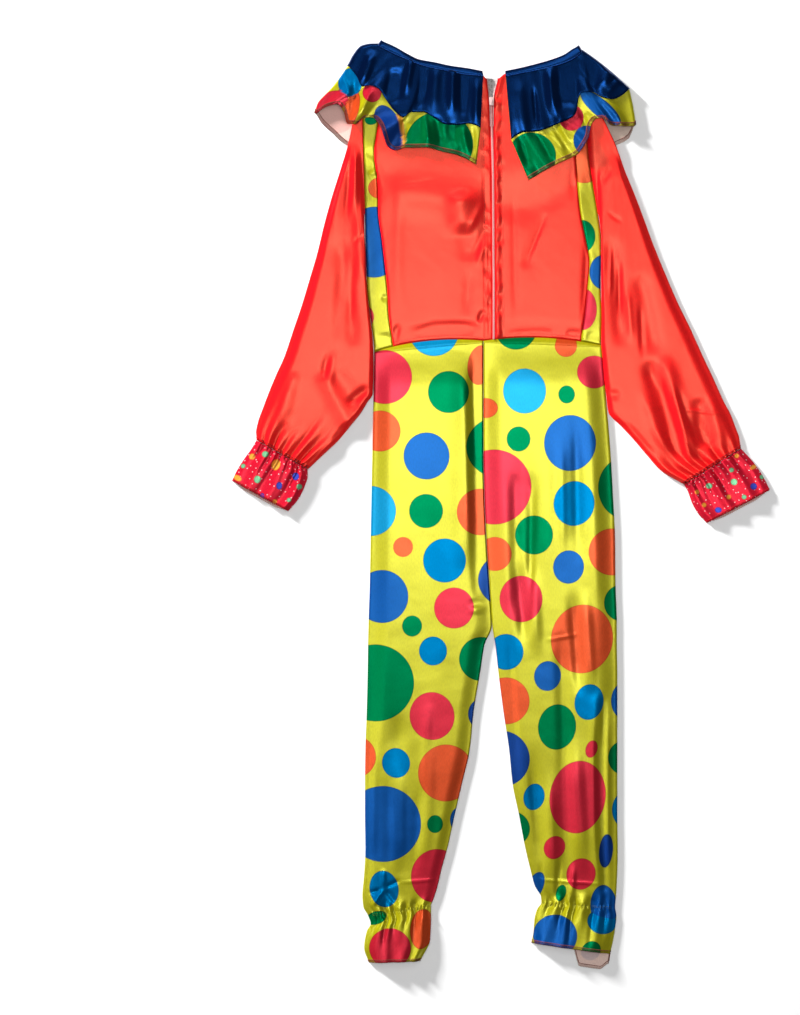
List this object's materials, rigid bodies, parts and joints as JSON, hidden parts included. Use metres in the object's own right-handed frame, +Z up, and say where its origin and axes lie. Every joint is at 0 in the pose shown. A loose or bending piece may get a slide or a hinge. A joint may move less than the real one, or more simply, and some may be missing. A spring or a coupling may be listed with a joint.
{
  "type": "clown jumpsuit",
  "caption": "Child's satin clown jumpsuit laid flat, back up: frilled collar, bishop sleeves, dotted trouser legs gathered at the ankles, back zip.",
  "frame": {"origin": "centre of the laid-out garment's box, on the table it lies on", "axes": "+Y up the garment to the neck, +X across it to the right of someone looking down on its back, +Z up from the table"},
  "size_m": [0.619, 1.0708, 0.0137],
  "materials": {
    "red_satin": "satin",
    "dotted_satin": "satin",
    "blue_satin": "satin",
    "print_satin": "satin",
    "zip_tape": "matt",
    "slider_enamel": "enamelled"
  },
  "bodies": {
    "root": {"back_left": "red_satin", "back_right": "red_satin", "front": "red_satin", "sleeve_left": "red_satin", "sleeve_right": "red_satin", "strip_left": "dotted_satin", "strip_right": "dotted_satin", "leg_left": "dotted_satin", "leg_right": "dotted_satin", "ruffle_dotted": "dotted_satin", "ruffle_blue": "blue_satin", "neck_binding": "blue_satin", "cuff_left": "print_satin", "cuff_right": "print_satin", "zip": "zip_tape", "slider": "slider_enamel"}
  },
  "joints": []
}
